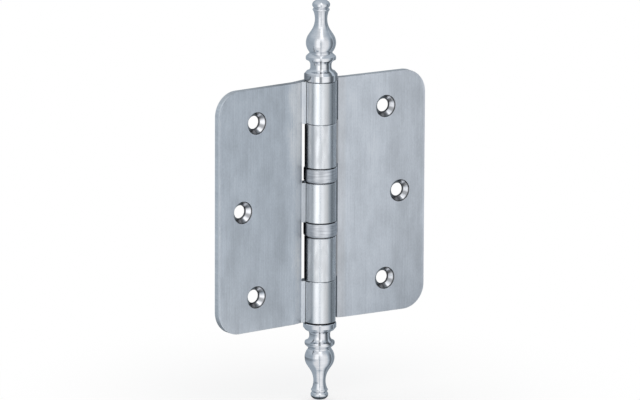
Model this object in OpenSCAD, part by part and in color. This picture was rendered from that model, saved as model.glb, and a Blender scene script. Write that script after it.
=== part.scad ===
// Full-mortise butt hinge with five knuckles, two exposed ball bearing rings and turned steeple tips.
// The pin axis is the Z axis and the origin is at mid-height of the barrel.
// The frame leaf lies along -X with its countersunk face towards -Y.
// The door leaf lies along +X and is turned a few degrees short of flat, towards -Y.

/* [Leaves] */
// Height of both leaves and of the barrel
leaf_h = 101.6; // [98:0.1:110]
// Reach of each leaf from the pin axis to its free edge
leaf_w = 50.8; // [46:0.1:60]
// Thickness of the steel plate
plate_t = 3; // [2.8:0.05:3.2]
// Radius of the two free corners of each leaf
corner_r = 10; // [3:0.5:12]
// Offset of the countersunk face from the pin axis, half the gap between the shut leaves
face_offset = 0.8; // [0.6:0.05:1.2]
// Distance from the pin axis at which the plate starts to set back towards its knuckles
swage_start = 11.8; // [11:0.1:14]
// Bend radius of the set-back at the back of the plate
swage_r = 9; // [5:0.5:12]
// Distance from the pin axis to the notches of the frame leaf
frame_notch = 8.3; // [8.1:0.1:10]
// Distance from the pin axis to the notches of the door leaf
door_notch = 9.2; // [8.1:0.1:10]
// Angle of the door leaf short of flat, as the hinge lies
rest_angle = 6; // [0:0.5:90]

/* [Barrel] */
// Outer radius of the knuckles
barrel_r = 6.55; // [6.5:0.05:6.6]
// Length of the two end knuckles
end_knuckle = 17.7; // [16:0.1:19]
// Length of the door leaf's two knuckles
door_knuckle = 18.4; // [17:0.1:20]
// Gap between two knuckles that face each other directly
knuckle_gap = 0.12; // [0.08:0.02:0.4]
// Radius of the pin
pin_r = 3.5; // [3.4:0.02:3.52]
// Radial running clearance of the pin in the knuckles
pin_play = 0.05; // [0.02:0.01:0.08]
// Width of the seam where each rolled knuckle closes on its plate
seam_w = 0.14; // [0.14:0.02:0.2]
// Distance from the pin axis at which the plate's root rises to meet the seam
lip_start = 7.8; // [7.4:0.1:8]
// Width of the broken edge at the ends of the knuckles
edge_break = 0.25; // [0.1:0.05:0.4]

/* [Screw holes] */
// Distance of the outer screw holes from the pin axis
outer_hole_x = 31.8; // [26:0.1:36]
// Height of the outer screw holes above and below the middle
outer_hole_z = 36.5; // [28:0.1:38]
// Distance of the middle screw hole from the pin axis
middle_hole_x = 38.8; // [30:0.1:41]
// Radius of the screw holes
hole_r = 2.75; // [2:0.05:3]
// Radius of the countersinks at the face of the leaf
sink_r = 4.7; // [4:0.05:5]
// Depth of the countersinks, which leave a narrow land at the back of the plate
sink_depth = 2.4; // [1.6:0.1:2.7]

/* [Bearings] */
// Height of each bearing ring
ring_h = 6.4; // [6.2:0.1:6.8]
// Outer radius of the bearing casing
ring_r = 6.95; // [6.85:0.05:7]
// Gap between the casing and the knuckles above and below it
casing_gap = 0.3; // [0.1:0.05:0.3]
// Radius of the balls
ball_r = 1; // [0.8:0.05:1.02]
// Number of balls in each bearing
ball_count = 10; // [8:1:11]

/* [Tips] */
// Height of the upper tip's collar edge above the barrel
upper_collar_h = 2.8; // [2.2:0.05:4]
// Depth of the lower tip's collar edge below the barrel
lower_collar_h = 2.5; // [2.2:0.05:4]
// Gap between the barrel and the collar of the upper tip, which is screwed home
upper_tip_gap = 0.1; // [0.05:0.05:0.3]
// Gap between the barrel and the collar of the lower tip
lower_tip_gap = 0.45; // [0.05:0.05:0.6]
// Radius of the collars
collar_r = 6.9; // [6.7:0.05:7.2]
// Radius of the neck between collar and bead
neck_r = 4.35; // [4.2:0.05:4.4]
// Radius of the bead
bead_r = 6.25; // [6.2:0.05:6.6]
// Radius of the bulb
bulb_r = 6.2; // [6:0.05:6.5]
// Radius of the slim neck
slim_r = 2.55; // [2.2:0.05:3]
// Radius of the end knob
knob_r = 3.7; // [3.5:0.05:4]
// Radius of the stud that screws into the pin
stud_r = 1.95; // [1.5:0.05:2.1]

/* [Hidden] */
$fn = 96;

half_h = leaf_h / 2;
middle_knuckle = leaf_h - 2 * (end_knuckle + door_knuckle + ring_h);
// Heights where the barrel changes from one piece to the next, above the middle
z_mid = middle_knuckle / 2;
z_ring = z_mid + ring_h;
z_door = z_ring + door_knuckle;
bore_r = pin_r + pin_play;
bearing_y = ring_h / 2;
race_rim_r = ring_r - 0.8;
race_bore_r = pin_r + 0.08;
pitch_r = (race_bore_r + race_rim_r) / 2;
race_h = 2.45;
casing_t = 0.5;
stud_l = 8;
// The set-back face runs from the flat face at swage_start to the circle where the rolled knuckle starts
swage_reach = norm([swage_start, face_offset]);
swage_angle = asin((barrel_r - plate_t) / swage_reach) - atan2(face_offset, swage_start);

steel = [0.68, 0.71, 0.75];
bright = [0.82, 0.83, 0.86];

// Points of an arc about c = [x, y], from angle a to angle b in n steps
function arc(c, r, a, b, n) = [
    for (i = [0 : n], t = a + (b - a) * i / n) c + r * [cos(t), sin(t)]
];

// A point given by its distance across (u) and along (v) the set-back part of the plate
function set_back(u, v) = [
    v * cos(swage_angle) - u * sin(swage_angle),
    v * sin(swage_angle) + u * cos(swage_angle)
];

// Centre of a bend of radius r, between the flat face at y and the set-back face at distance u
function bend(u, y, r) = [((y + r) * cos(swage_angle) - u - r) / sin(swage_angle), y + r];

// Cross-section of the flat plate and its set-back, up to the barrel
module plate_section() {
    front = barrel_r - plate_t;
    back = barrel_r - 0.05;
    front_r = swage_r + plate_t;
    polygon(concat(
        [[-leaf_w, face_offset]],
        arc(bend(front, face_offset, front_r), front_r, -90, swage_angle - 90, 6),
        [set_back(front, 0.5), set_back(back, 0.5)],
        arc(bend(back, face_offset + plate_t, swage_r), swage_r, swage_angle - 90, -90, 6),
        [[-leaf_w, face_offset + plate_t]]
    ));
}

// Cross-section of the plate with the knuckle rolled from it, back to front, until it closes on its face.
// Pressing the knuckle shut raises the plate's root to a low lip beside the seam.
module knuckle_section() {
    inner = barrel_r - plate_t;
    outer = barrel_r + seam_w;
    difference() {
        union() {
            plate_section();
            difference() {
                polygon([
                    set_back(inner + 0.5, -lip_start), set_back(inner, -lip_start),
                    [outer * cos(170), outer * sin(170)], [0, 0]
                ]);
                circle(r = outer);
            }
            difference() {
                circle(r = barrel_r);
                polygon([
                    set_back(inner - seam_w, -8), set_back(inner - seam_w, -0.3),
                    set_back(inner + 0.1, -0.3), set_back(inner + 0.1, -8)
                ]);
            }
        }
        circle(r = bore_r);
    }
}

// One screw hole with its countersink, drilled from the face
module screw_hole(x, z) {
    slope = (sink_r - hole_r) / sink_depth;
    translate([-x, face_offset, z]) rotate([-90, 0, 0]) {
        translate([0, 0, -1]) cylinder(r = hole_r, h = plate_t + 2);
        translate([0, 0, -0.5]) cylinder(r1 = sink_r + 0.5 * slope, r2 = hole_r, h = sink_depth + 0.5);
    }
}

// What is milled away beside the free corner at height z, whose sign says top or bottom
module corner_cut(z) {
    s = sign(z);
    difference() {
        translate([-leaf_w - 1, 0, s > 0 ? z - corner_r : z - 1]) cube([corner_r + 1, 12, corner_r + 1]);
        translate([-leaf_w + corner_r, -1, z - s * corner_r]) rotate([-90, 0, 0]) {
            cylinder(r = corner_r, h = 14);
        }
    }
}

// The broken edge round a knuckle's end: d = 1 for an upper end, -1 for a lower one
module end_break(z, d) {
    translate([0, 0, z]) rotate_extrude() polygon([
        [barrel_r - edge_break, 0.1 * d], [barrel_r + 0.1, 0.1 * d],
        [barrel_r + 0.1, -d * (edge_break + 0.1)], [barrel_r, -d * edge_break], [barrel_r - edge_break, 0]
    ]);
}

// A leaf along -X: notches are the heights cut free, up to reach, for the rings and the other knuckles
module leaf(notches, reach, ends) {
    difference() {
        translate([0, 0, -half_h]) linear_extrude(height = leaf_h) knuckle_section();
        for (n = notches) translate([-reach, -10, n[0]]) cube([reach + 10, 20, n[1] - n[0]]);
        for (z = [half_h, -half_h]) corner_cut(z);
        for (z = [outer_hole_z, -outer_hole_z]) screw_hole(outer_hole_x, z);
        screw_hole(middle_hole_x, 0);
        for (e = ends) end_break(e[0], e[1]);
    }
}

module frame_leaf() {
    g = knuckle_gap / 2;
    color(steel) leaf(
        [[z_mid, z_door + g], [-z_door - g, -z_mid]],
        frame_notch,
        [[half_h, 1], [z_door + g, -1], [z_mid, 1], [-z_mid, -1], [-z_door - g, 1], [-half_h, -1]]
    );
}

module door_leaf() {
    g = knuckle_gap / 2;
    color(steel) rotate([0, 0, -rest_angle]) mirror([1, 0, 0]) leaf(
        [[z_door - g, half_h + 1], [-z_ring, z_ring], [-half_h - 1, -z_door + g]],
        door_notch,
        [[z_door - g, 1], [z_ring, -1], [-z_ring, 1], [-z_door + g, -1]]
    );
}

// Straight rod, tapped at both ends for the tips
module hinge_pin() {
    color(bright) difference() {
        translate([0, 0, -half_h]) cylinder(r = pin_r, h = leaf_h);
        for (s = [1, -1]) translate([0, 0, s * (half_h - stud_l / 2)]) {
            cylinder(r = stud_r + 0.05, h = stud_l + 1, center = true);
        }
    }
}

// Turned profile of a tip above the barrel's end, whose collar starts at gap and has its edge at h:
// shoulder, collar, cove, bead, bulb, slim neck, fillet and knob
function tip_profile(h, gap) = concat(
    [[0, 0], [collar_r - 1.2, 0], [collar_r - 1.2, gap], [collar_r - 0.25, gap], [collar_r, gap + 0.25]],
    [[collar_r, h - 0.1], [collar_r - 0.1, h]],
    arc([neck_r + 1.85, h + 2.9], 1.85, 262, 180, 9),
    arc([neck_r + 2.45, h + 3.7], 2.45, 180, 105, 9),
    [[bead_r, h + 6.45], [bead_r, h + 6.9], [bead_r - 0.12, h + 7.4], [4.77, h + 8.65]],
    arc([bulb_r - 5.7, h + 12.95], 5.7, -41, 0, 8),
    arc([bulb_r - 6.1, h + 12.95], 6.1, 5, 34, 6),
    arc([slim_r + 8.7, h + 22.9], 8.7, 214, 158, 11),
    arc([slim_r + 0.47, h + 26.8], 0.5, -60, 70, 6),
    [for (a = [-38 : 8 : 90]) [knob_r * cos(a), h + 28.85 + 2.25 * sin(a)]]
);

module tip(h, gap) {
    color(bright) union() {
        rotate_extrude() polygon(tip_profile(h, gap));
        translate([0, 0, -stud_l + 0.5]) cylinder(r = stud_r, h = stud_l);
    }
}

module upper_tip() {
    translate([0, 0, half_h]) tip(upper_collar_h, upper_tip_gap);
}

module lower_tip() {
    translate([0, 0, -half_h]) mirror([0, 0, 1]) tip(lower_collar_h, lower_tip_gap);
}

// Rolled casing, drawn from z = 0 up to the ring's height: a thin wall whose lips hold the races together
module casing() {
    lip = casing_gap + casing_t;
    color(bright) rotate_extrude() polygon(concat(
        [[race_rim_r - 0.5, casing_gap]],
        arc([ring_r - 1, casing_gap + 1], 1, -90, 0, 8),
        arc([ring_r - 0.5, ring_h - casing_gap - 0.5], 0.5, 0, 90, 6),
        [[race_rim_r - 0.5, ring_h - casing_gap], [race_rim_r - 0.5, ring_h - lip]],
        [[race_rim_r + 0.05, ring_h - lip], [race_rim_r + 0.05, lip], [race_rim_r - 0.5, lip]]
    ));
}

// Hardened washer with a ball groove on top and a step under its rim for the casing's lip
module race() {
    step = casing_gap + casing_t + 0.05;
    color(steel) rotate_extrude() difference() {
        polygon([
            [race_bore_r, 0], [race_rim_r - 0.55, 0], [race_rim_r - 0.55, step],
            [race_rim_r, step], [race_rim_r, race_h], [race_bore_r, race_h]
        ]);
        translate([pitch_r, bearing_y]) circle(r = ball_r + 0.03, $fn = 48);
    }
}

// Flat ring with a round pocket for each ball
module ball_cage() {
    color(steel) difference() {
        translate([0, 0, bearing_y - 0.4]) cylinder(r = race_rim_r, h = 0.8);
        translate([0, 0, bearing_y - 1]) cylinder(r = race_bore_r + 0.06, h = 2);
        for (i = [1 : ball_count]) rotate([0, 0, 360 * i / ball_count]) {
            translate([pitch_r, 0, bearing_y - 1]) cylinder(r = ball_r + 0.05, h = 2, $fn = 48);
        }
    }
}

module ball(i) {
    color(bright) rotate([0, 0, 360 * i / ball_count]) translate([pitch_r, 0, bearing_y]) {
        sphere(r = ball_r, $fn = 32);
    }
}

module flipped() {
    translate([0, 0, ring_h]) mirror([0, 0, 1]) children();
}

frame_leaf();
door_leaf();
hinge_pin();
upper_tip();
lower_tip();
for (b = [["upper", z_mid], ["lower", -z_ring]]) translate([0, 0, b[1]]) {
    casing();
    flipped() race();
    race();
    ball_cage();
    for (i = [1 : ball_count]) {
        ball(i);
    }
}
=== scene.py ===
import math
import bpy
import bmesh
from mathutils import Matrix, Vector

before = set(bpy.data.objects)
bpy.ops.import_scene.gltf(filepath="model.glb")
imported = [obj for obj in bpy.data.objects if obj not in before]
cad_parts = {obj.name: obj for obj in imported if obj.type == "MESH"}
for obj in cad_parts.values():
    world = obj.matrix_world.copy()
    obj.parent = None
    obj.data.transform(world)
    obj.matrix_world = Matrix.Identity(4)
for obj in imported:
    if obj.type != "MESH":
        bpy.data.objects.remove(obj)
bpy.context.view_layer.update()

for spare in ("Cube", "Light", "Camera"):
    if spare in bpy.data.objects:
        bpy.data.objects.remove(bpy.data.objects[spare])

scene = bpy.context.scene
scene.view_settings.view_transform = "Standard"

# Camera: a long lens from the front left and a little above, as a catalogue photograph is taken.
# The turn, tilt and roll are in degrees; it aims a hair left of and above the pin's middle.
CAMERA_TURN, CAMERA_TILT, CAMERA_ROLL = 36.8, 12.86, 0.26
CAMERA_DISTANCE = 2.695
AIM_RIGHT, AIM_UP = -0.00011, 0.0004
PICTURE_WIDTH = 640
PIXELS_PER_METRE = 2428
turn, tilt, roll = (math.radians(a) for a in (CAMERA_TURN, CAMERA_TILT, CAMERA_ROLL))
forward = Vector((math.sin(turn) * math.cos(tilt), math.cos(turn) * math.cos(tilt), -math.sin(tilt)))
level = Vector((math.cos(turn), -math.sin(turn), 0))
upward = level.cross(forward)
across = level * math.cos(roll) + upward * math.sin(roll)
upward = upward * math.cos(roll) - level * math.sin(roll)
camera = bpy.data.objects.new("camera", bpy.data.cameras.new("camera"))
scene.collection.objects.link(camera)
camera.data.lens = camera.data.sensor_width * PIXELS_PER_METRE * CAMERA_DISTANCE / PICTURE_WIDTH
camera.data.clip_end = 20
standpoint = across * AIM_RIGHT + upward * AIM_UP - forward * CAMERA_DISTANCE
facing = Matrix((across, upward, -forward)).transposed().to_4x4()
camera.matrix_world = Matrix.Translation(standpoint) @ facing
scene.camera = camera


# Frame leaf: 3 mm stainless plate, its root set back and rolled into three knuckles round the pin.
# The plate and knuckles are brushed along the barrel; the countersinks are cut bright afterwards, and their
# reflections and shade are painted.
class Nodes:
    """Adds shader nodes to one material, each fed with numbers or with other nodes' outputs."""

    def __init__(self, owner):
        owner.use_nodes = True
        self.tree = owner.node_tree
        self.tree.nodes.clear()

    def add(self, kind, inputs=None, output=0, **settings):
        node = self.tree.nodes.new(kind)
        for name, value in settings.items():
            setattr(node, name, value)
        for name, value in (inputs or {}).items():
            if isinstance(value, bpy.types.NodeSocket):
                self.tree.links.new(value, node.inputs[name])
            else:
                node.inputs[name].default_value = value
        return node.outputs[output] if node.outputs else None

    def place(self, turned=0.0):
        """The x, y and z of a point on the object, with the pattern turned about the pin."""
        spot = self.add("ShaderNodeTexCoord", output=3)
        if turned:
            spot = self.add("ShaderNodeMapping", {"Vector": spot, "Rotation": (0, 0, turned)})
        return self.add("ShaderNodeSeparateXYZ", {"Vector": spot}).node.outputs

    def calc(self, operation, *values):
        return self.add("ShaderNodeMath", dict(enumerate(values)), operation=operation)

    def times(self, first, *others):
        for other in others:
            first = self.calc("MULTIPLY", first, other)
        return first

    def ease(self, value, low, high, start=0.0, end=1.0):
        """start below low, end above high, and a smooth step between them."""
        limits = {"From Min": low, "From Max": high, "To Min": start, "To Max": end}
        return self.add("ShaderNodeMapRange", {"Value": value, **limits}, interpolation_type="SMOOTHSTEP")

    def between(self, value, rise, fall):
        """1 between two pairs of values, and 0 before the first pair and after the second."""
        return self.times(self.ease(value, *rise), self.ease(value, *fall, 1.0, 0.0))

    def blend(self, share, first, second):
        return self.add("ShaderNodeMix", {"Factor": share, "A": first, "B": second})

    def tint(self, share, first, second):
        colours = {"Factor": share, 6: first, 7: second}
        return self.add("ShaderNodeMix", colours, output=2, data_type="RGBA")

    def shade(self, grey, colour):
        """A colour made lighter or darker by a number."""
        return self.add("ShaderNodeVectorMath", {0: colour, "Scale": grey}, operation="SCALE")

    def noise(self, x, y, z, detail=3.0, rough=0.55):
        spot = self.add("ShaderNodeCombineXYZ", {"X": x, "Y": y, "Z": z})
        settings = {"Scale": 1.0, "Detail": detail, "Roughness": rough}
        return self.add("ShaderNodeTexNoise", {"Vector": spot, **settings})

    def far(self, a, b):
        """How far a point is from an axis."""
        return self.calc("SQRT", self.calc("ADD", self.times(a, a), self.times(b, b)))

    def bearing(self, up, right):
        """The direction of a point from an axis, in degrees between -180 and 180."""
        return self.times(self.calc("ARCTAN2", up, right), math.degrees(1))

    def curve(self, degrees, stops):
        """The value at an angle of a curve through (degrees, value) stops."""
        share = self.add("ShaderNodeMapRange", {"Value": degrees, "From Min": -180.0, "From Max": 180.0})
        ramp = self.add("ShaderNodeValToRGB", {"Fac": share})
        marks = ramp.node.color_ramp.elements
        for i, (angle, value) in enumerate(stops):
            position = (angle + 180) / 360
            mark = marks[i] if i < 2 else marks.new(position)
            mark.position = position
            mark.color = (value, value, value, 1)
        return ramp


def steel(n, colour, roughness, relief, depth):
    """Finishes a bare metal surface: depth is the size of its relief in metres."""
    bump = n.add("ShaderNodeBump", {"Height": relief, "Distance": depth, "Strength": 1.0})
    look = {"Base Color": colour, "Metallic": 1.0, "Roughness": roughness, "Normal": bump}
    n.add("ShaderNodeOutputMaterial", {"Surface": n.add("ShaderNodeBsdfPrincipled", look)})


def dress(node, material):
    bpy.data.objects[node].data.materials[0] = material


BORE_MOUTH = 0.0060
KNUCKLE_RADIUS = 0.00655
SINK_RADIUS = 0.0047
HOLE_RADIUS = 0.00275
OUTER_HOLE_OFF, OUTER_HOLE_UP, MIDDLE_HOLE_OFF = 0.0318, 0.0365, 0.0388
CORNER_CENTRE, CORNER_RADIUS = 0.0408, 0.01
# Painted reflections and shade of a countersink round its axis: how light it is, in degrees from the right
SINK_PAINTED_REFLECTION = (
    (-180, 0.10), (-125, 0.14), (-85, 0.22), (-72, 0.35), (-60, 0.90), (-44, 0.95), (-32, 0.42),
    (-20, 0.40), (-9, 0.90), (6, 1.00), (16, 0.85), (27, 0.38), (42, 0.50), (55, 0.95), (66, 0.70),
    (78, 0.22), (98, 0.14), (120, 0.03), (180, 0.03))


def countersinks(n, off, up, z, side):
    """Where the countersinks are, their painted reflections and shade, and how far a point is from its
    hole's axis.
    """
    outer = n.calc("GREATER_THAN", up, OUTER_HOLE_UP / 2)
    across_hole = n.calc("SUBTRACT", off, n.blend(outer, MIDDLE_HOLE_OFF, OUTER_HOLE_OFF))
    across_hole = n.times(across_hole, side)
    above_hole = n.calc("SUBTRACT", z, n.times(n.calc("SIGN", z), OUTER_HOLE_UP, outer))
    gap = n.far(across_hole, above_hole)
    cut = n.ease(gap, SINK_RADIUS - 0.00004, SINK_RADIUS + 0.00002, 1.0, 0.0)
    # Painted reflections and shade round each hole, with dark rings at its rim and at the hole's edge
    painted_reflection = n.curve(n.bearing(above_hole, across_hole), SINK_PAINTED_REFLECTION)
    rim = n.ease(gap, SINK_RADIUS - 0.0005, SINK_RADIUS - 0.00025)
    land = n.ease(gap, HOLE_RADIUS + 0.00015, HOLE_RADIUS + 0.00035, 1.0, 0.0)
    return cut, n.blend(n.calc("MAXIMUM", rim, land), painted_reflection, 0.10), gap


def sheared_edge(n, off, up, y, end_shade):
    """Where the plate's sheared outline is, its painted highlight and shade, and a painted highlight line
    just inside it.
    """
    past_off = n.calc("MAXIMUM", n.calc("SUBTRACT", off, CORNER_CENTRE), 0.0)
    past_up = n.calc("MAXIMUM", n.calc("SUBTRACT", up, CORNER_CENTRE), 0.0)
    from_corner = n.far(past_off, past_up)
    edge = n.ease(from_corner, CORNER_RADIUS - 0.0001, CORNER_RADIUS - 0.00002)
    # Painted shade on the top and bottom edges near the barrel, and a painted highlight on the free side,
    # most of all at its front
    ends = n.blend(n.ease(off, 0.012, 0.040), end_shade, 0.95)
    free_side = n.ease(y, 0.001, 0.002, 1.45, 1.15)
    lightness = n.blend(n.ease(up, 0.0470, 0.0506), free_side, ends)
    inner_edge_highlight = n.ease(from_corner, CORNER_RADIUS - 0.0012, CORNER_RADIUS - 0.0006)
    return edge, lightness, n.times(inner_edge_highlight, n.ease(off, 0.048, 0.050))


def leaf_steel(name, lie, side, face, edge_end_shade, plate_painted_light, mottle, knuckle_painted_light, seed):
    """Brushed plate with rolled knuckles and bright countersinks, with painted light and shade.

    lie turns a leaf's pattern flat onto X; side is -1 for a leaf along -X; face is the plate's
    colour and plate_painted_light its painted light and shade; knuckle_painted_light is the painted
    highlights and shade of its knuckles round the pin, in degrees, and mottle how blotchy they are.
    """
    material = bpy.data.materials.new(name)
    n = Nodes(material)
    x, y, z = n.place(lie)
    off, up = n.calc("ABSOLUTE", x), n.calc("ABSOLUTE", z)
    reach = n.far(x, y)
    turned = n.calc("ARCTAN2", y, x)
    plate = n.ease(reach, KNUCKLE_RADIUS + 0.00001, KNUCKLE_RADIUS + 0.00025)
    along = n.blend(plate, n.times(turned, KNUCKLE_RADIUS), x)

    # Brush marks, all drawn out along the barrel, from the finest hairs to slow clouds
    grain = n.noise(n.times(along, 2100), seed + 15, n.times(z, 900), 1.0)
    hairs = n.noise(n.times(along, 4200), seed, n.times(z, 45), 3.0, 0.7)
    strokes = n.noise(n.times(along, 1500), seed + 3, n.times(z, 34), 4.0, 0.65)
    blotches = n.noise(n.times(along, 560), seed + 11, n.times(z, 130), 1.5)
    clouds = n.noise(n.times(along, 130), seed + 7, n.times(z, 62), 4.0, 0.6)

    edge, edge_lightness, inner_edge_highlight = sheared_edge(n, off, up, y, edge_end_shade)
    grey = n.times(
        n.ease(strokes, 0.28, 0.72, 0.95, 1.04),
        n.ease(clouds, 0.3, 0.7, 0.91, 1.08),
        n.ease(hairs, 0.25, 0.75, 0.95, 1.05),
        n.ease(grain, 0.25, 0.75, 0.96, 1.04),
        plate_painted_light(n, off, z, up, reach),
        n.blend(inner_edge_highlight, 1.0, 1.10),
        n.blend(edge, 1.0, edge_lightness))
    # The painted highlights and the edges turn towards a neutral grey
    highlight_neutrality = n.calc("MAXIMUM", edge, n.ease(grey, 1.02, 1.3))
    grey = n.shade(grey, n.tint(highlight_neutrality, face, (0.69, 0.70, 0.71, 1)))

    # Painted shade: the faces that meet inside the barrel are darkened, but not the seam at the knuckle's
    # root
    seam = n.ease(turned, 2.75, 2.8)
    inside = n.times(n.ease(reach, BORE_MOUTH, BORE_MOUTH + 0.0003, 1.0, 0.0), n.calc("SUBTRACT", 1.0, seam))
    knuckle = n.times(
        n.curve(n.times(turned, math.degrees(1)), knuckle_painted_light),
        n.ease(blotches, 0.3, 0.7, 1.0 + 0.06 * mottle, 1.0 - 0.12 * mottle),
        n.blend(inside, 1.0, 0.08))
    knuckle = n.shade(knuckle, (0.90, 0.925, 0.95))

    # The countersinks take their painted reflections and shade
    sink, sink_painted_light, gap = countersinks(n, off, up, z, side)
    sink_painted_light = n.shade(sink_painted_light, (0.92, 0.93, 0.96))
    colour = n.tint(sink, n.tint(plate, knuckle, grey), sink_painted_light)
    gloss_and_painted_light = n.ease(blotches, 0.3, 0.7, 0.23, 0.25 + 0.1 * mottle)
    rough = n.blend(plate, gloss_and_painted_light, n.ease(hairs, 0.3, 0.7, 0.40, 0.48))
    rough = n.blend(sink, rough, 0.22)
    brushing = n.calc("ADD", n.times(hairs, 0.7), n.times(strokes, 0.5))
    cuts = n.noise(n.times(gap, 9000), seed, 0.0, 1.0)
    relief = n.blend(plate, n.times(brushing, 0.35), brushing)
    relief = n.blend(sink, relief, n.times(cuts, 0.5))
    steel(n, colour, rough, relief, 0.000010)
    return material


def frame_painted_light(n, off, z, up, reach):
    """Painted highlight on the strip beside the knuckles and on its lip, strongest towards the top; the leaf
    is a little darker towards the bottom.
    """
    middle = n.ease(up, 0.0080, 0.0300, 1.0, 0.0)
    lowest = n.ease(z, -0.034, -0.030, 1.0, 0.0)
    strip = n.calc("SUBTRACT", n.blend(middle, 1.32, 1.10), n.times(lowest, 0.10))
    strip = n.blend(n.ease(reach, 0.0115, 0.0190), strip, 1.0)
    lip = n.blend(middle, 1.17, 0.93)
    strip = n.blend(n.ease(reach, 0.0090, 0.0098), lip, strip)
    return n.times(strip, n.ease(z, -0.045, 0.01, 0.90, 0.985))


# Painted highlights and shade on the frame leaf's knuckles round the pin, in degrees
FRAME_KNUCKLE_PAINTED_LIGHT = (
    (-180, 0.58), (-157, 0.58), (-148, 0.92), (-140, 0.97), (-128, 0.98), (-118, 0.88), (-110, 0.70),
    (-100, 0.63), (-93, 0.59), (-84, 0.70), (-78, 0.60), (-69, 0.56), (-60, 0.80), (0, 0.90),
    (140, 0.90), (164, 0.75), (173, 0.70), (180, 0.60))
dress("frame_leaf", leaf_steel(
    "brushed_frame_leaf", lie=0.0, side=-1, face=(0.66, 0.70, 0.745, 1), edge_end_shade=0.5,
    plate_painted_light=frame_painted_light, mottle=0.3, knuckle_painted_light=FRAME_KNUCKLE_PAINTED_LIGHT, seed=1.0))


# Pin: 7 mm ground steel rod through all five knuckles, tapped at both ends for the tips.
# Only a thread of it shows between the knuckles, so it carries a plain ground finish.
def turned_steel(name, dark, light, roughness, pitch, depth, seed, round_painted_light=(), dark_within=None, waves=0.0):
    """Steel from the lathe: fine rings round the pin axis, with faint streaks across them.

    pitch is how many rings a metre would hold, and depth is how deep they are. round_painted_light
    is (lowest, highest, stops), painted highlights and shade round the axis between two heights;
    dark_within is (reach, height), within which it is dark; waves is how uneven hand polishing has left it.
    """
    material = bpy.data.materials.new(name)
    n = Nodes(material)
    x, y, z = n.place()
    height = n.calc("ABSOLUTE", z)
    turned = n.calc("ARCTAN2", y, x)
    rings = n.noise(n.times(turned, 0.35), seed, n.times(z, pitch), 2.0)
    bands = n.noise(n.times(turned, 0.8), seed + 5, n.times(z, pitch / 6), 3.0)
    smears = n.noise(n.times(turned, 3.0), seed + 9, n.times(z, 90), 3.0)
    colour = n.tint(n.ease(bands, 0.38, 0.62), dark, light)
    # Painted highlights and shade round the axis, each between two heights
    for lowest, highest, stops in round_painted_light:
        part = n.between(height, (lowest - 0.0002, lowest), (highest, highest + 0.0002))
        gloss_and_painted_light = n.curve(n.times(turned, math.degrees(1)), stops)
        colour = n.shade(n.blend(part, 1.0, gloss_and_painted_light), colour)
    # Near-black within a reach of the axis and below a height
    if dark_within:
        near = n.ease(n.far(x, y), dark_within[0] - 0.0002, dark_within[0], 1.0, 0.0)
        low = n.ease(height, dark_within[1], dark_within[1] + 0.00005, 1.0, 0.0)
        colour = n.tint(n.times(near, low), colour, (0.04, 0.04, 0.045, 1))
    rough = n.ease(rings, 0.3, 0.7, roughness * 0.8, roughness * 1.2)
    rough = n.calc("ADD", rough, n.times(smears, roughness * 0.4))
    uneven = n.noise(n.times(x, 260), seed, n.times(z, 190), 2.0)
    steel(n, colour, rough, n.calc("ADD", rings, n.times(uneven, waves)), depth)
    return material


dress("hinge_pin", turned_steel(
    "ground_pin", dark=(0.55, 0.57, 0.60, 1), light=(0.62, 0.64, 0.66, 1), roughness=0.25,
    pitch=9000, depth=0.000004, seed=2.0))

# Bearings: two hardened washers with a caged row of balls between them, held in a thin rolled casing.
# The casing is the ring that shows between the knuckles; it is turned, with rounded rims.
# Painted highlights and shade round the casing, in degrees, with a painted dark band at the back left
CASING_PAINTED_LIGHT = (
    (-180, 0.66), (-155, 0.72), (-140, 0.92), (-120, 0.90), (-108, 1.04), (-90, 1.00), (0, 1.00),
    (110, 1.00), (147, 1.00), (151, 0.08), (168, 0.12), (176, 0.60), (180, 0.66))
ANY_HEIGHT = 1.0
casing_steel = turned_steel(
    "turned_casing", dark=(0.55, 0.57, 0.60, 1), light=(0.74, 0.76, 0.79, 1), roughness=0.28,
    pitch=9600, depth=0.000012, seed=4.0,
    round_painted_light=((0.0, ANY_HEIGHT, CASING_PAINTED_LIGHT),), dark_within=(0.0064, ANY_HEIGHT))
race_steel = turned_steel(
    "ground_race", dark=(0.16, 0.16, 0.17, 1), light=(0.20, 0.20, 0.21, 1), roughness=0.3,
    pitch=8000, depth=0.000004, seed=5.0)
cage_steel = turned_steel(
    "pressed_cage", dark=(0.52, 0.53, 0.54, 1), light=(0.60, 0.61, 0.62, 1), roughness=0.3,
    pitch=3000, depth=0.000006, seed=6.0)
ball_steel = turned_steel(
    "polished_ball", dark=(0.74, 0.75, 0.77, 1), light=(0.78, 0.79, 0.80, 1), roughness=0.06,
    pitch=1200, depth=0.0000005, seed=7.0)
BALLS = 10
for bearing in ("upper", "lower"):
    dress(bearing + "_casing", casing_steel)
    dress(bearing + "_race_above", race_steel)
    dress(bearing + "_race_below", race_steel)
    dress(bearing + "_ball_cage", cage_steel)
    for ball in range(1, BALLS + 1):
        dress("%s_ball_%d" % (bearing, ball), ball_steel)


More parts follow.
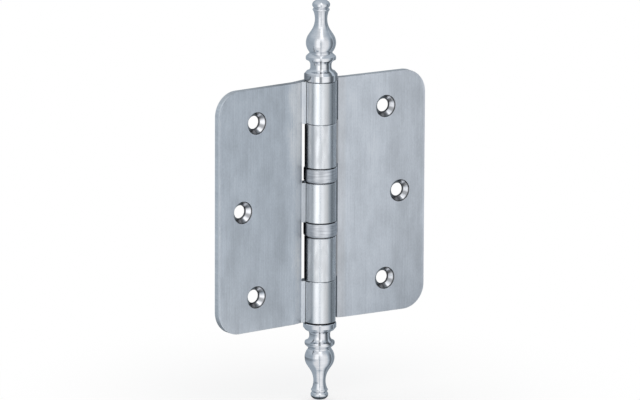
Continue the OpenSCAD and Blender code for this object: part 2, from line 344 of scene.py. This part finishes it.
# Door leaf: the same plate with two knuckles, which sit between the frame leaf's three.
# It lies 6 degrees short of flat, so its pattern is laid along the turned plate.
def door_painted_shade(n, off, z, up, reach):
    """Painted shade: dark in the corner beside its knuckles and on the sheared end face of its root, darker
    near the barrel and towards the free edge, and a little darker towards the bottom.
    """
    beside_knuckle = n.between(up, (0.0145, 0.0148), (0.0330, 0.0333))
    front = n.ease(n.calc("SUBTRACT", reach, off), 0.0013, 0.0017, 1.0, 0.0)
    corner = n.times(beside_knuckle, n.ease(reach, 0.0086, 0.0098, 1.0, 0.0), front)
    root_painted_shadow = n.ease(off, 0.00921, 0.00925, 0.42, 1.0)
    return n.times(
        n.blend(beside_knuckle, root_painted_shadow, 1.0),
        n.blend(corner, 1.0, 0.25),
        n.ease(reach, 0.0110, 0.0140, 0.77, 1.0),
        n.ease(off, 0.026, 0.040, 1.04, 0.92),
        n.ease(z, -0.045, 0.01, 0.97, 0.99))


DOOR_LIE = 6
# Painted highlights and shade on the door leaf's knuckles round the pin, in degrees, with a painted dark
# band at the back left
DOOR_KNUCKLE_PAINTED_LIGHT = (
    (-180, 0.58), (-151, 0.60), (-142, 0.78), (-134, 0.82), (-122, 0.88), (-112, 0.84), (-104, 0.78),
    (-94, 0.81), (-86, 0.84), (-78, 0.76), (-69, 0.72), (-60, 0.95), (0, 0.95), (146, 0.95),
    (150, 0.03), (171, 0.05), (178, 0.50))
dress("door_leaf", leaf_steel(
    "brushed_door_leaf", lie=math.radians(DOOR_LIE), side=1, face=(0.71, 0.74, 0.78, 1),
    edge_end_shade=0.8, plate_painted_light=door_painted_shade, mottle=1.0, knuckle_painted_light=DOOR_KNUCKLE_PAINTED_LIGHT, seed=21.0))

# Steeple tips: turned from bright bar and polished by hand, screwed into the ends of the pin.
# The lathe's finest rings still show in the coves, and the face by the barrel is dark.
BARREL_END = 0.0508
IN_BARREL, COLLAR_TOP, BEAD_START = 0.0500, 0.0540, 0.0600
# Painted reflections and shade round the tips' necks and bulbs, and painted shade on the upper collar, in
# degrees
NECK_PAINTED_LIGHT = (
    (-180, 1.00), (-146, 1.00), (-142, 1.12), (-133, 1.12), (-130, 0.55), (-124, 0.55), (-121, 1.10),
    (-104, 1.05), (-98, 0.85), (-94, 0.45), (-84, 0.30), (-79, 1.30), (-72, 1.30), (-66, 0.70),
    (-52, 0.50), (0, 1.00), (180, 1.00))
COLLAR_PAINTED_SHADE = (
    (-180, 0.56), (-170, 0.72), (-160, 0.85), (-146, 0.85), (-142, 1.00), (0, 1.00), (120, 1.00),
    (150, 0.40), (165, 0.35), (180, 0.56))
TIP_PAINTED_LIGHT = {
    "upper_tip": ((IN_BARREL, BEAD_START, NECK_PAINTED_LIGHT), (IN_BARREL, COLLAR_TOP, COLLAR_PAINTED_SHADE)),
    "lower_tip": ((0.0545, BEAD_START, NECK_PAINTED_LIGHT),)}
for tip, round_painted_light in TIP_PAINTED_LIGHT.items():
    dress(tip, turned_steel(
        "polished_" + tip, dark=(0.72, 0.735, 0.76, 1), light=(0.78, 0.79, 0.81, 1), roughness=0.09,
        pitch=6500, depth=0.000003, seed=8.0, round_painted_light=round_painted_light, dark_within=(0.0066, BARREL_END + 0.0005), waves=12.0))

# Floor: a small round white table under the lower tip, which keeps the hinge's soft shadow.
# Towards its rim it turns into the white of the room, so no edge shows.
FOOT = -0.0845
TABLE_RADIUS = 0.15
floor_mesh = bpy.data.meshes.new("floor")
shape = bmesh.new()
bmesh.ops.create_circle(shape, cap_ends=True, segments=96, radius=TABLE_RADIUS)
bmesh.ops.translate(shape, verts=shape.verts, vec=(0, 0, FOOT))
shape.to_mesh(floor_mesh)
shape.free()
floor = bpy.data.objects.new("floor", floor_mesh)
scene.collection.objects.link(floor)
floor_white = bpy.data.materials.new("floor_white")
n = Nodes(floor_white)
x, y, z = n.place()
path = n.add("ShaderNodeLightPath").node
seen = n.calc("MAXIMUM", path.outputs["Is Camera Ray"], path.outputs["Is Glossy Ray"])
seen = n.calc("MAXIMUM", seen, path.outputs["Is Transmission Ray"])
white = n.add("ShaderNodeEmission", {"Color": (1, 1, 1, 1), "Strength": 1.0})
matt = n.add("ShaderNodeBsdfDiffuse", {"Color": (0.9, 0.9, 0.9, 1)})
share = n.times(seen, n.ease(n.far(x, y), 0.02, TABLE_RADIUS - 0.005, 0.6, 1.0))
surface = n.add("ShaderNodeMixShader", {0: share, 1: matt, 2: white})
n.add("ShaderNodeOutputMaterial", {"Surface": surface})
floor_mesh.materials.append(floor_white)

# Cards: a ring of grey and dark panels that only the hinge's shine sees, closed by a sloping roof
# and by a skirt that covers the table. Angles run from the camera's own side, positive to its right.
CARD_REACH, CARD_HEIGHT, ROOF_TOP = 2.2, 1.3, 2.9
SKIRT_RISE, SKIRT_REACH = 0.0006, 0.16
CARD_TONES = (
    (-180, 0.42), (-110, 0.44), (-62, 0.46), (-52, 0.60), (-46, 0.78), (-36, 0.86), (-22, 0.92),
    (-8, 0.92), (-4, 0.88), (-1, 0.45), (0.5, 0.45), (4, 0.86), (15, 1.02), (38, 1.02), (48, 0.92),
    (58, 0.84), (66, 0.70), (74, 0.48), (82, 0.30), (92, 0.20), (101, 0.16), (105, 0.45), (114, 0.45),
    (118, 0.25), (140, 0.36), (180, 0.40))
ROOF_TONES = (
    (-180, 0.62), (-60, 0.72), (-20, 0.80), (-9, 1.10), (-2, 1.50), (18, 1.50), (26, 1.10), (36, 0.70),
    (60, 0.62), (110, 0.60), (180, 0.62))
walls_and_roof = ((CARD_REACH, -CARD_HEIGHT), (CARD_REACH, CARD_HEIGHT), (0.02, ROOF_TOP))
skirt_and_slope = ((0.001, FOOT + SKIRT_RISE), (SKIRT_REACH, FOOT + SKIRT_RISE), (CARD_REACH, -CARD_HEIGHT))
shape = bmesh.new()
for profile in (walls_and_roof, skirt_and_slope):
    spots = [shape.verts.new((reach, 0, height)) for reach, height in profile]
    edges = [shape.edges.new(pair) for pair in zip(spots, spots[1:])]
    bmesh.ops.spin(
        shape, geom=spots + edges, cent=(0, 0, 0), axis=(0, 0, 1), angle=math.tau, steps=90, use_merge=True)
cards_mesh = bpy.data.meshes.new("cards")
shape.to_mesh(cards_mesh)
shape.free()
cards = bpy.data.objects.new("cards", cards_mesh)
cards_grey = bpy.data.materials.new("cards_grey")
n = Nodes(cards_grey)
x, y, z = n.place()
towards = n.calc("ADD", n.times(x, -math.sin(turn)), n.times(y, -math.cos(turn)))
sideways = n.calc("ADD", n.times(x, math.cos(turn)), n.times(y, -math.sin(turn)))
angle = n.bearing(sideways, towards)
grey = n.blend(n.ease(z, 0.1, 2.4), n.curve(angle, CARD_TONES), n.curve(angle, ROOF_TONES))
out = n.far(x, y)
left_shade = n.times(n.between(out, (0.030, 0.075), (0.085, 0.130)), n.ease(angle, -45, -15, 0.5, 0.0))
foot_shade = n.ease(out, 0.004, 0.0075, 0.9, 0.0)
skirt = n.ease(z, FOOT + 0.001, FOOT + 0.005, 1.0, 0.0)
skirt_shade = n.times(skirt, n.calc("MAXIMUM", left_shade, foot_shade))
grey = n.times(grey, n.calc("SUBTRACT", 1.0, skirt_shade))
coolness = n.tint(n.ease(grey, 0.4, 0.95), (0.87, 1.0, 1.13, 1), (0.99, 1.0, 1.02, 1))
glow = n.add("ShaderNodeEmission", {"Color": coolness, "Strength": grey})
n.add("ShaderNodeOutputMaterial", {"Surface": glow})
cards_mesh.materials.append(cards_grey)

# Black flags: two upright dark panels close behind the barrel, in the frame leaf's two cut-outs.
# Its shine takes from them the shade between it and the wall that the leaves are fixed to.
FLAG_HALF_WIDTH, FLAG_HALF_HEIGHT = 0.0075, 0.0155
FLAG_OFF, FLAG_BEHIND, FLAG_UP = -0.0085, 0.0095, 0.0205
upright = Matrix.Rotation(math.radians(90), 3, "X")
shape = bmesh.new()
for height in (FLAG_UP, -FLAG_UP):
    grid = bmesh.ops.create_grid(shape, x_segments=1, y_segments=1, size=1.0)["verts"]
    bmesh.ops.scale(shape, verts=grid, vec=(FLAG_HALF_WIDTH, FLAG_HALF_HEIGHT, 1.0))
    bmesh.ops.rotate(shape, verts=grid, matrix=upright)
    bmesh.ops.translate(shape, verts=grid, vec=(FLAG_OFF, FLAG_BEHIND, height))
flag_mesh = bpy.data.meshes.new("flag")
shape.to_mesh(flag_mesh)
shape.free()
flag = bpy.data.objects.new("flag", flag_mesh)
flag_black = bpy.data.materials.new("flag_black")
n = Nodes(flag_black)
black = n.add("ShaderNodeEmission", {"Color": (0.004, 0.004, 0.005, 1), "Strength": 1.0})
n.add("ShaderNodeOutputMaterial", {"Surface": black})
flag_mesh.materials.append(flag_black)
for card in (cards, flag):
    scene.collection.objects.link(card)
    card.visible_camera = False
    card.visible_diffuse = False
    card.visible_shadow = False
    card.visible_transmission = False


# Light: a white room all round, and one tall softbox at the front left for the bright line on the barrel.
def around(angle, reach, height):
    """A point on the circle round the pin, at an angle from the camera's side."""
    a = math.radians(angle) - turn
    return Vector((reach * math.sin(a), -reach * math.cos(a), height))


SOFTBOX_ANGLE, SOFTBOX_REACH, SOFTBOX_UP = -22, 2.0, 0.3
world = bpy.data.worlds.new("white_room")
scene.world = world
n = Nodes(world)
room = n.add("ShaderNodeBackground", {"Color": (1, 1, 1, 1), "Strength": 1.0})
n.add("ShaderNodeOutputWorld", {"Surface": room})
lamp = bpy.data.lights.new("softbox", "AREA")
lamp.shape = "RECTANGLE"
lamp.size = 0.92
lamp.size_y = 2.6
lamp.energy = 2.4
softbox = bpy.data.objects.new("softbox", lamp)
scene.collection.objects.link(softbox)
stand = Matrix.Translation(around(SOFTBOX_ANGLE, SOFTBOX_REACH, SOFTBOX_UP))
aim = around(SOFTBOX_ANGLE, SOFTBOX_REACH, 0.0).to_track_quat("Z", "Y").to_matrix().to_4x4()
softbox.matrix_world = stand @ aim
